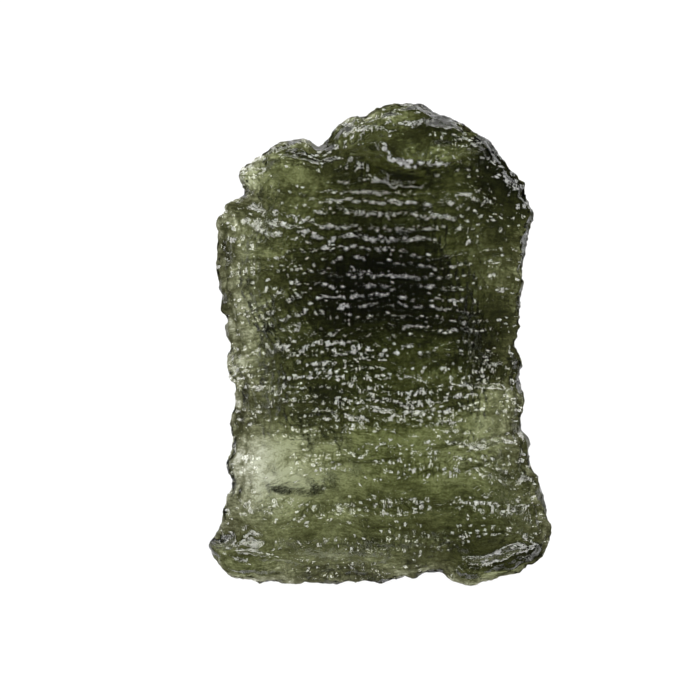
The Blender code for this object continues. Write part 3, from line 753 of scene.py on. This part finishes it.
# painted shade along the thin cracks
CRACK_PAINTED_SHADE = 1.6
CRACK_WIDTH = 0.22  # furrows thinner than this are cracks
# the most painted light that a place may have
MOST_PAINTED_LIGHT = 2.5


def plateau(points, *place):
    """1 over most of an oval, falling quickly to 0 at its edge."""
    return np.exp(-(oval(points, *place) ** 1.5))


def painted_light_and_shade_of(points):
    """The painted light and shade of each place: below 1 where painted shade darkens it, above 1
    where painted light brightens it.
    """
    ragged, bent = shaken(points, *RAGGED), shaken(points * FLAT, *BEND)
    # painted shade in the listed places, and painted light where an amount is below 0
    dark = sum(amount * plateau(ragged, *place) for *place, amount in PAINTED_LIGHT_AND_SHADE_PLACES)
    # painted shade at the rim, along the thin cracks and on the walls between the pits
    near = np.exp(-((distance_to_rim(points) / RIM_PAINTED_SHADE_REACH) ** 2))
    dark = dark + RIM_PAINTED_SHADE * near * (RIM_MEAN + RIM_SWING * bumps(points, 0.9, 40))
    cracks = [place for *place, _ in FURROWS if place[-1] < CRACK_WIDTH]
    dark = dark + sum(CRACK_PAINTED_SHADE * along_line(bent, *crack) for crack in cracks)
    walls = np.clip((etched_rows(points) - WALL_FROM) / WALL_FADE, 0, 1)
    return np.exp(-dark - WALL_PAINTED_SHADE * walls * (points[:, 1] > WALLS_ABOVE))


# the painted light and shade is stored on every point of the skin
mark("painted_light_and_shade", np.clip(painted_light_and_shade_of(skin), 0, MOST_PAINTED_LIGHT))

# %% [markdown]
# ## Where the dimples are
# Small frosted dimples lie on the glass in bands. An even spread would be simpler, but on the
# real stone they crowd together and leave the smooth windows free, so this number says how
# crowded they are, and noise makes it patchy along the rows.

# %% Where the dimples are
# Places with more of the frosted dimples: x, y, half width, half height, share
NET_PLACES = (
    (0, -3.2, 9.5, 2.6, 0.85), (0.5, -7.7, 9, 1.1, 0.8), (0.5, -10.9, 9, 0.8, 0.8),
    (1.5, -12.9, 9, 0.9, 0.6), (-1.5, -15.1, 6.5, 0.6, 0.9), (7.6, 9.5, 2.5, 3, 0.2),
    (4.2, 12.8, 2.4, 1.2, 0.8), (-5, 1, 4, 2.6, 0.25), (-8.9, 11.1, 1, 0.9, 1),
    (-9.6, 9, 1.2, 0.6, 0.6), (-9.4, -2.1, 1.1, 0.8, 0.8), (0.2, 12.9, 0.5, 0.4, 1),
    (1.3, 12.1, 0.7, 0.4, 0.7), (3, 11.8, 1.4, 0.3, 0.8), (-1.8, 14.2, 1, 0.9, 0.8),
    (7.6, -14.2, 2.6, 0.5, 0.4), (-6.6, 6.6, 2.6, 3.2, 0.28), (-1.1, 11.5, 0.5, 0.9, 0.6),
)
NET_EVERYWHERE = 0.07
NET_AT_RIM = 0.15
NET_RIM_REACH = 1.2
PATCHINESS, SPARSEST, DENSEST = 2.8, 0.05, 2.2  # what noise adds and takes, within two limits
NET_WINDOW_LOSS = 0.8


def crowding(points):
    """The share of small pits that are frosted dimples."""
    share = NET_EVERYWHERE + sum(high * plateau(points, *at) for *at, high in NET_PLACES)
    streaky = np.stack([0.45 * points[:, 0], 1.3 * flow_level(points), 0 * points[:, 0]], axis=1)
    share = share * np.clip(1 + PATCHINESS * bumps(streaky, 1.2, 70), SPARSEST, DENSEST)
    share = share + NET_AT_RIM * np.exp(-((distance_to_rim(points) / NET_RIM_REACH) ** 2))
    return np.clip(share * (1 - NET_WINDOW_LOSS * calmness(points)), 0, 1)


mark("net", crowding(skin))
mark("inside", distance_to_rim(skin))

# %% [markdown]
# ## On its base
# Now the stone is set over the origin with its resting spot at height 0, and stored in metres.
# Etching moved the skin a little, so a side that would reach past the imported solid's box is
# scaled down by a hair.

# %% On its base
SNUG = 0.9995  # the share of the solid's box that the stone may fill


def set_on_base(thing):
    points = read_points(thing)
    lowest, highest = points.min(axis=0), points.max(axis=0)
    middle = (lowest + highest) / 2
    fit = np.minimum(1, cad_size * SNUG / (highest - lowest))
    write_points(thing, (points - (middle[0], middle[1], lowest[2])) * fit * MM)
    return fit


print("scaled by", set_on_base(stone).round(4))
stone.data.shade_smooth()
stone.data.calc_loop_triangles()
print("the stone has", len(stone.data.loop_triangles), "triangles")

# %% [markdown]
# ## Clear glass
# The colour comes from plain glass: full transmission, the index of refraction of moldavite and
# an absorption that eats blue first, then red, then green. A painted colour would be the same
# everywhere. This one is deeper where the stone is thicker, as in the real glass.

# %% Clear glass
GLASS_IOR = 1.49
ABSORPTION_COLOUR = (0.424, 0.469, 0.14, 1)
ABSORPTION_DENSITY = 500  # per metre

glass = bpy.data.materials.new("moldavite glass")
glass.use_nodes = True
tree = glass.node_tree
shader = tree.nodes["Principled BSDF"]
shader.inputs["IOR"].default_value = GLASS_IOR
shader.inputs["Transmission Weight"].default_value = 1.0


def node(kind, feeds, **settings):
    """Adds one node, and feeds each of its inputs a plain value or the output of another."""
    new = tree.nodes.new("ShaderNode" + kind)
    for name, value in settings.items():
        setattr(new, name, value)
    for socket, value in feeds.items():
        if isinstance(value, bpy.types.NodeSocket):
            tree.links.new(value, new.inputs[socket])
        else:
            new.inputs[socket].default_value = value
    return new.outputs


absorbed = node("VolumeAbsorption", {"Color": ABSORPTION_COLOUR, "Density": ABSORPTION_DENSITY})
tree.links.new(absorbed["Volume"], tree.nodes["Material Output"].inputs["Volume"])
print("the glass has an index of refraction of", GLASS_IOR)

# %% [markdown]
# ## Places to read a pattern at
# A pattern is read at a place. Plain Object coordinates are enough for an even mottle, but the
# streaks and pits of this stone follow its flow, so for them the second coordinate is swapped for
# the flow stored on the skin. For the layers that step down at the rim, the third one is swapped
# for the distance from the rim.

# %% Places to read a pattern at


def scaled(place, scale):
    """The same place in other units, so that a pattern read there is that much finer."""
    return node("Mapping", {"Vector": place, "Scale": scale})["Vector"]


def stored(name):
    """A number that every point of the skin holds."""
    return node("Attribute", {}, attribute_name=name)["Fac"]


def joined(x, y, z):
    """One place made of three numbers."""
    return node("CombineXYZ", {"X": x, "Y": y, "Z": z})["Vector"]


def separated(place):
    """The three numbers of a place or a colour."""
    return node("SeparateXYZ", {"Vector": place})


level = scaled(node("TexCoord", {})["Object"], (1 / MM, 1 / MM, 1 / MM))
right, upper, above = separated(level)
inside = stored("inside")
flowing = joined(right, stored("flow"), above)
by_rim = joined(right, upper, inside)
print("patterns are read level, along the flow and by the rim")

# %% [markdown]
# ## Noise, cells and sums
# Two textures draw every mark on this stone. A noise gives streaks and grain, and a Voronoi
# texture gives random cells, each with a random colour of its own. The other helpers stretch a
# value from one range to another and combine two values.

# %% Noise, cells and sums


def noise_at(place, name, scale, detail):
    feeds = {"Vector": scaled(place, scale), "Scale": 1.0, "Detail": detail}
    return node("TexNoise", feeds, label=name)["Fac"]


def cells_at(place, name, scale, unevenness, feature="F1"):
    """Random cells seen from above, as many to a millimetre as the scale says."""
    feeds = {"Vector": scaled(place, scale), "Scale": 1.0, "Randomness": unevenness}
    return node("TexVoronoi", feeds, label=name, voronoi_dimensions="2D", feature=feature)


def calculated(operation, *values):
    """One sum on one or two values."""
    return node("Math", dict(enumerate(values)), operation=operation)["Value"]


def product(first, second):
    return calculated("MULTIPLY", first, second)


def in_range(value, old, new):
    """The value stretched from an old range to a new one and held inside it."""
    sockets = ("Value", "From Min", "From Max", "To Min", "To Max")
    return node("MapRange", dict(zip(sockets, (value, *old, *new))))["Result"]


near_rim = in_range(inside, (0.5, 1.7), (1, 0))
print("the glass has", len(tree.nodes), "nodes so far")

# %% [markdown]
# ## Streaks in the glass
# Each band of the glass holds back a little more or less light. One noise would look like smoke,
# so several sizes lie over each other: streaks, clouds and grain along the flow, and an even
# mottle and speckle. Thin dark wisps and hairs run along the lines where a noise passes a half.

# %% Streaks in the glass
# Each noise: where it is read, its name, scale and detail, the range of it that is used and the
# shade at the two ends of that range
SHADES = (
    (flowing, "streaks", (0.25, 1.6, 0.5), 4, (0.35, 0.6), (0.45, 1.04)),
    (flowing, "clouds", (0.5, 1.0, 0.6), 5, (0.38, 0.52), (0.6, 1.0)),
    (flowing, "grain", (0.9, 6.5, 3.0), 3, (0.4, 0.56), (0.6, 1.0)),
    (level, "mottle", (2.2, 2.2, 2.2), 4, (0.38, 0.6), (0.62, 1.17)),
    (level, "speckle", (7.0, 7.0, 7.0), 2, (0.38, 0.6), (0.76, 1.24)),
)
# The same for the dark lines, whose range says how far the noise is from a half
DARK_LINES = (
    ("wisps", (0.9, 3.2, 1.5), 3, (0.0, 0.03), (0.5, 1.0)),
    ("hairs", (2.2, 6.0, 2.2), 2, (0.0, 0.04), (0.55, 1.06)),
)

# the shade starts from the painted light and shade stored on the skin
painted_light_and_shade = stored("painted_light_and_shade")
shade = painted_light_and_shade
for place, name, scale, detail, used, shades in SHADES:
    shade = product(shade, in_range(noise_at(place, name, scale, detail), used, shades))
for name, scale, detail, used, shades in DARK_LINES:
    passing = calculated("SUBTRACT", noise_at(flowing, name, scale, detail), 0.5)
    shade = product(shade, in_range(calculated("ABSOLUTE", passing), used, shades))
print("shaded by", len(SHADES) + len(DARK_LINES), "noises and the veil")

# %% [markdown]
# ## Painted lines between pits, and painted layers at the rim
# Where small pits crowd together, dark lines of painted shade lie on the borders of Voronoi cells,
# where the pits meet. At the rim, bands of painted light and shade run along the edge, some light
# and some dark. Drawn everywhere, both would hide the clear windows, so each is faded out where it
# doesn't belong.

# %% Painted lines between pits, and painted layers at the rim
PIT_CELLS = (1.95, 2.15, 2.2)
PIT_UNEVENNESS = 0.7
LAYERS = (0.4, 0.4, 2.4)
BLUE_POWER = 1.25  # darker glass takes more of the blue


def faded(shade_there, share):
    """The shade where the share is 1, and no shade where it is 0."""
    return node("Mix", {"Factor": share, "A": 1.0, "B": shade_there})["Result"]


# the net also says where painted shade is drawn on the borders between pits
net = stored("net")
borders = cells_at(flowing, "pit borders", PIT_CELLS, PIT_UNEVENNESS, "DISTANCE_TO_EDGE")
border_shade = in_range(borders["Distance"], (0.03, 0.16), (0.35, 1.0))
layers = noise_at(by_rim, "layers", LAYERS, 4)
layer_shade = in_range(layers, (0.4, 0.55), (0.25, 1.3))
# painted shade on the borders between pits, and painted light and shade in bands along the rim
shade = product(shade, faded(border_shade, net))
shade = product(shade, faded(layer_shade, near_rim))
shade.node.use_clamp = True
# blue is taken more where the shade is darker, painted shade included
deeper = calculated("POWER", shade, BLUE_POWER)
tint = node("CombineColor", {"Red": shade, "Green": shade, "Blue": deeper})["Color"]
tree.links.new(tint, shader.inputs["Base Color"])
print("about", round(PIT_CELLS[0] * PIT_CELLS[1], 1), "small pits to a square millimetre")

# %% [markdown]
# ## Ticks, grit and layers
# The finest relief is too small for the mesh, so bump nodes tilt the light on it: tiny ticks
# across the rows, an even grit, and thin layers that step along the rim. The pits, ribs and
# furrows aren't made this way, because a bump leaves the outline smooth.

# %% Ticks, grit and layers
TICK_HEIGHT = 0.06 * MM
GRIT_HEIGHT = 0.05 * MM
LAYER_HEIGHT = 0.3 * MM


def raised(height, distance, normal=None):
    feeds = {"Height": height, "Distance": distance}
    if normal is not None:
        feeds["Normal"] = normal
    return node("Bump", feeds)["Normal"]


ticks = noise_at(flowing, "ticks", (8.5, 1.5, 1.5), 1)
grit = noise_at(level, "grit", (6.0, 6.0, 6.0), 4)
relief = raised(product(ticks, in_range(painted_light_and_shade, (0.1, 0.5), (1, 0))), TICK_HEIGHT)
relief = raised(grit, GRIT_HEIGHT, relief)
relief = raised(product(layers, near_rim), LAYER_HEIGHT, relief)
tree.links.new(in_range(grit, (0.3, 0.7), (0.06, 0.12)), shader.inputs["Roughness"])
print("the tallest of these is", round(LAYER_HEIGHT / MM, 2), "mm")

# %% [markdown]
# ## Bright facets
# Each grey fleck is a small facet of a pit that leans towards the lamp. The flecks could be
# drawn as white spots, but a facet stays dark from another side, as a real one does. Round
# dimples fill the net, short dashes lie in the rows, and level treads lie between the layers.

# %% Bright facets
TO_LAMP = (0, 0.45, 0.89)
LEVEL = (0, 0.1, 1)
MIDDLE_GREY = (0.5, 0.5, 0.5)  # the mean of the cells' random colours
FACET_SPREAD = (0.5, 0.3, 0)  # how far single facets lean off that way
DASH_CELLS = (2.3, 5.2, 1.0)


def faceted(normal, random, share, lean):
    """Where the share is 1 the skin has small facets that lean one way, give or take a little."""
    centred = node("VectorMath", {0: random, 1: MIDDLE_GREY}, operation="SUBTRACT")["Vector"]
    feeds = {0: centred, 1: FACET_SPREAD, 2: lean}
    facet = node("VectorMath", feeds, operation="MULTIPLY_ADD")["Vector"]
    # Inputs 4 and 5 of a Mix node are its two vectors, and output 1 is the mixed one
    mixed = node("Mix", {"Factor": share, 4: normal, 5: facet}, data_type="VECTOR")[1]
    return node("VectorMath", {0: mixed}, operation="NORMALIZE")["Vector"]


def chosen(share, colour):
    """1 in a share of the cells, picked by their random colour, and 0 in the others."""
    ahead = calculated("SUBTRACT", share, separated(colour)["Z"])
    return in_range(ahead, (0, 0.1), (0, 1))


dimples = cells_at(flowing, "dimples", PIT_CELLS, PIT_UNEVENNESS)
round_ones = in_range(dimples["Distance"], (0.28, 0.46), (1, 0))
dashes = cells_at(flowing, "dashes", DASH_CELLS, 1.0)
short_ones = in_range(dashes["Distance"], (0.3, 0.5), (1, 0))
ribbed = in_range(ticks, (0.4, 0.55), (0.3, 1))
gritty = in_range(grit, (0.4, 0.5), (0.2, 1))

tread = product(in_range(layers, (0.44, 0.5), (0, 0.9)), near_rim)
relief = faceted(relief, dashes["Color"], tread, LEVEL)
dimple = product(product(round_ones, chosen(net, dimples["Color"])), gritty)
relief = faceted(relief, dimples["Color"], product(dimple, ribbed), TO_LAMP)
dash = product(short_ones, chosen(in_range(net, (0, 1), (0.1, 0.5)), dashes["Color"]))
relief = faceted(relief, dashes["Color"], product(dash, ribbed), TO_LAMP)
tree.links.new(relief, shader.inputs["Normal"])

stone.data.materials.append(glass)
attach(stone, "root")
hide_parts("moldavite")
print("dressed", stone.name, "in", glass.name)

# %% [markdown]
# ## The light table
# A see-through stone on a plain grey floor stands in its own shadow and looks black. It is shown
# on a white table that glows a little, so that light comes up through it everywhere.

# %% The light table
TABLE_HALF = 2  # half the table's width, in metres
TABLE_GAP = 0.1 * MM  # left free under the stone, so that the two surfaces don't share a plane
TABLE_GLOW = 1.0
TABLE_SKIN = (0.05, 0.05, 0.05, 1)  # nearly black under its glow, so that the lamp draws no shadow
WHITE = (1, 1, 1, 1)


def light_table():
    shape = bmesh.new()
    bmesh.ops.create_grid(shape, x_segments=1, y_segments=1, size=TABLE_HALF)
    bmesh.ops.translate(shape, verts=shape.verts, vec=(0, 0, -TABLE_GAP))
    table = new_object("floor", shape)
    milky = bpy.data.materials.new("milky table")
    milky.use_nodes = True
    shader = milky.node_tree.nodes["Principled BSDF"]
    shader.inputs["Base Color"].default_value = TABLE_SKIN
    shader.inputs["Roughness"].default_value = 0.7
    shader.inputs["Emission Color"].default_value = WHITE
    shader.inputs["Emission Strength"].default_value = TABLE_GLOW
    table.data.materials.append(milky)


light_table()
print("the table glows at", TABLE_GLOW)

# %% [markdown]
# ## A soft lamp
# The grey flecks are reflections. Glass gives back only a twenty-fifth of what falls on it, so
# the lamp has to be about ten times as bright as the table. It hangs beyond the stone's upper
# end and well to one side of straight above, so the level windows between the pits stay dark. A
# weak low strip beyond the lower end picks out the walls that face the other way.

# %% A soft lamp
LAMP_BRIGHTNESS = 10.5
STRIP_BRIGHTNESS = 2.5
ROOM_LIGHT = 0.08
# Each lamp: bearing from +Y and height in degrees, distance, width and length in metres
UPPER_LAMP = (0, 36, 0.4, 0.6, 0.2)
LOWER_STRIP = (180, 16, 0.4, 0.3, 0.06)


def soft_lamp(name, azimuth, elevation, distance, width, length, brightness):
    """A rectangular lamp that faces the stone."""
    lamp = bpy.data.lights.new(name, "AREA")
    lamp.shape = "RECTANGLE"
    lamp.size, lamp.size_y = width, length
    lamp.energy = brightness * pi * width * length
    bearing, rise = radians(azimuth), radians(elevation)
    way = Vector((sin(bearing) * cos(rise), cos(bearing) * cos(rise), sin(rise)))
    holder = placed(name, lamp)
    holder.location = way * distance
    holder.rotation_euler = way.to_track_quat("Z", "Y").to_euler()


soft_lamp("upper lamp", *UPPER_LAMP, LAMP_BRIGHTNESS)
soft_lamp("lower strip", *LOWER_STRIP, STRIP_BRIGHTNESS)
room = bpy.data.worlds.new("dim room")
room.use_nodes = True
air = room.node_tree.nodes["Background"].inputs
air["Color"].default_value, air["Strength"].default_value = WHITE, ROOM_LIGHT
scene.world = room
scene.view_settings.view_transform = "Standard"
print("the lamp is", LAMP_BRIGHTNESS, "times as bright as the table")

# %% [markdown]
# ## The camera
# The stone was seen straight on, so now that it lies down the camera looks straight down on it.
# A short lens close by would make its middle bulge, so this one is long and far away.

# %% The camera
PIXEL = 0.0665 * MM  # what one pixel of the 700-pixel frame spans at the stone
STONE_IN_FRAME = (380.5, 344.25)  # where the stone's middle is in the frame, in pixels
FRAME = 700
LENS, SENSOR = 280, 36
FOCUS_HEIGHT = 6 * MM


def camera_above():
    eye = bpy.data.cameras.new("camera")
    eye.lens, eye.sensor_width = LENS, SENSOR
    eye.clip_start, eye.clip_end = 0.01, 5
    holder = placed("camera", eye)
    across = (FRAME / 2 - STONE_IN_FRAME[0]) * PIXEL
    up = (STONE_IN_FRAME[1] - FRAME / 2) * PIXEL
    away = FRAME * PIXEL * LENS / SENSOR
    holder.location = (across, up, FOCUS_HEIGHT + away)
    scene.camera = holder
    return holder


print("the camera is", round(camera_above().location.z, 3), "m up")
